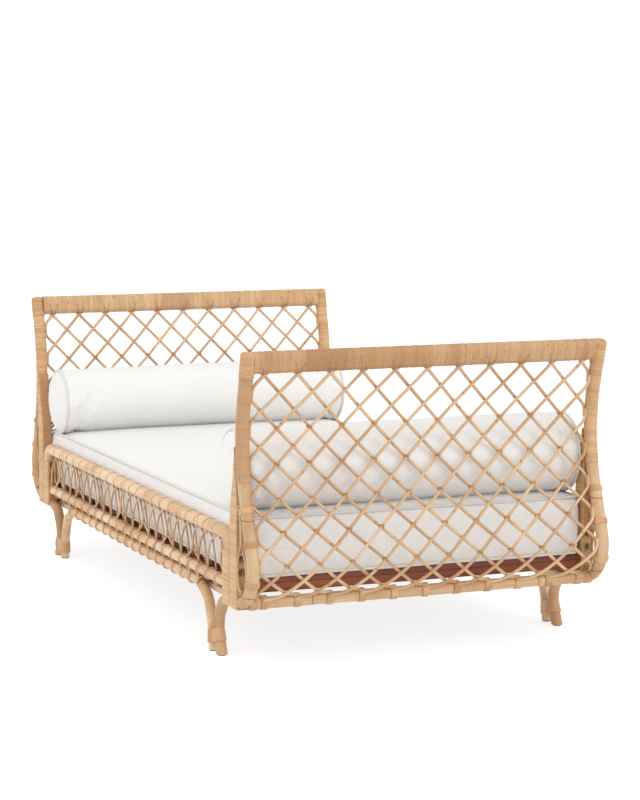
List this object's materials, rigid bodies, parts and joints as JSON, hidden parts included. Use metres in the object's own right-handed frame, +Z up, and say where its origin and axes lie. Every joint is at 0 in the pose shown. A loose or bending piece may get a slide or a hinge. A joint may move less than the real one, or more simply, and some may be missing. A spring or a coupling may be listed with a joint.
{
  "type": "daybed",
  "caption": "Rattan daybed with S-curved ends in diamond reed lattice, woven side rails on paired pole legs, slatted base, white mattress and round bolsters.",
  "frame": {"origin": "on the floor under the middle of the bed, at the centre of its length and width", "axes": "+X along the bed to its foot end, -Y to the bed's left side, +Z up"},
  "size_m": [2.189, 1.084, 0.8596],
  "materials": {
    "rattan_pole": "satin lacquer on peeled rattan",
    "rattan_reed": "satin lacquer on split rattan reed",
    "rattan_binding": "satin, wrapped rattan peel",
    "hardwood": "reddish brown stain",
    "cushion_fabric": "plain woven white cotton",
    "steel": "zinc plated",
    "glide_plastic": "matte"
  },
  "bodies": {
    "frame": {"bed_bolts": "steel", "bolt_nuts": "steel", "bolt_washers": "steel", "foot_bottom_rail": "rattan_pole", "foot_corner_bindings": "rattan_binding", "foot_end_post_left": "rattan_binding", "foot_end_post_right": "rattan_binding", "foot_end_rail": "hardwood", "foot_lattice_back": "rattan_reed", "foot_lattice_front": "rattan_reed", "foot_left_leg_pole": "rattan_pole", "foot_outer_pole_left": "rattan_pole", "foot_outer_pole_right": "rattan_pole", "foot_pole_bindings": "rattan_binding", "foot_right_leg_pole": "rattan_pole", "foot_side_reeds": "rattan_reed", "foot_top_rail_binding": "rattan_binding", "foot_top_rail_poles": "rattan_pole", "glides": "glide_plastic", "head_bottom_rail": "rattan_pole", "head_corner_bindings": "rattan_binding", "head_end_post_left": "rattan_binding", "head_end_post_right": "rattan_binding", "head_end_rail": "hardwood", "head_lattice_back": "rattan_reed", "head_lattice_front": "rattan_reed", "head_left_leg_pole": "rattan_pole", "head_outer_pole_left": "rattan_pole", "head_outer_pole_right": "rattan_pole", "head_pole_bindings": "rattan_binding", "head_right_leg_pole": "rattan_pole", "head_side_reeds": "rattan_reed", "head_top_rail_binding": "rattan_binding", "head_top_rail_poles": "rattan_pole", "left_inner_side_pole": "rattan_pole", "left_ledger": "hardwood", "left_leg_rail": "rattan_pole", "left_mid_side_rail": "rattan_pole", "left_side_posts": "rattan_binding", "left_side_weave": "rattan_reed", "left_top_side_rail": "rattan_pole", "leg_lashings": "rattan_binding", "right_inner_side_pole": "rattan_pole", "right_ledger": "hardwood", "right_leg_rail": "rattan_pole", "right_mid_side_rail": "rattan_pole", "right_side_posts": "rattan_binding", "right_side_weave": "rattan_reed", "right_top_side_rail": "rattan_pole", "slat_screws": "steel", "slats": "hardwood"},
    "mattress": {"mattress": "cushion_fabric"},
    "bolster_foot": {"bolster_foot": "cushion_fabric"},
    "bolster_head": {"bolster_head": "cushion_fabric"}
  },
  "joints": [
    {"name": "mattress_lift", "type": "slide", "parent": "frame", "child": "mattress", "axis": [0, 0, 1], "range_m": [0, 0.66]},
    {"name": "bolster_foot_lift", "type": "slide", "parent": "mattress", "child": "bolster_foot", "axis": [0, 0, 1], "range_m": [0, 0.47]},
    {"name": "bolster_head_lift", "type": "slide", "parent": "mattress", "child": "bolster_head", "axis": [0, 0, 1], "range_m": [0, 0.47]}
  ]
}
